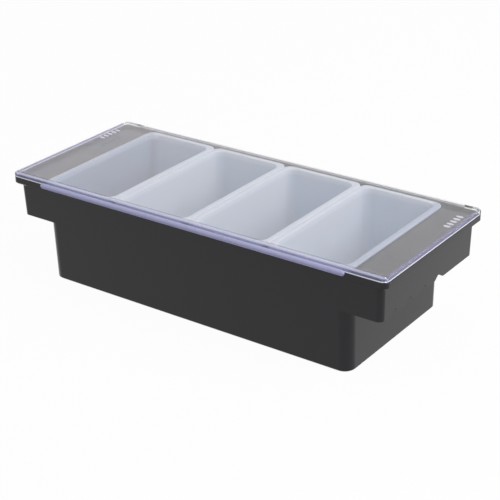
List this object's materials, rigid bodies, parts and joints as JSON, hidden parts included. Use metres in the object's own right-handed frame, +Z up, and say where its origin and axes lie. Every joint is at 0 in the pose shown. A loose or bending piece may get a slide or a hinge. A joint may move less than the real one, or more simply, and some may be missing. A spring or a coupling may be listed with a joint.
{
  "type": "condiment caddy",
  "caption": "Condiment caddy: a deep drafted tub with finger-grip carrying wings, lift-out inserts and one clear lid hinged along the back.",
  "frame": {"origin": "centre of the tub's underside", "axes": "+Z up out of the tub, +X along the row of inserts, +Y towards the hinge"},
  "size_m": [0.375, 0.1622, 0.0936],
  "materials": {
    "tub_plastic": "smooth satin-gloss black moulding",
    "insert_plastic": "translucent white moulding with a soft sheen",
    "lid_plastic": "clear rigid moulding with a faint violet tint at its edges"
  },
  "bodies": {
    "tub": {"base": "tub_plastic", "insert_1": "insert_plastic", "insert_2": "insert_plastic", "insert_3": "insert_plastic", "insert_4": "insert_plastic"},
    "lid": {"lid": "lid_plastic"}
  },
  "joints": [
    {"name": "lid_hinge", "type": "hinge", "parent": "tub", "child": "lid", "pos_m": [0, 0.0805, 0.0881], "axis": [-1, 0, 0], "range_deg": [0, 105]}
  ]
}
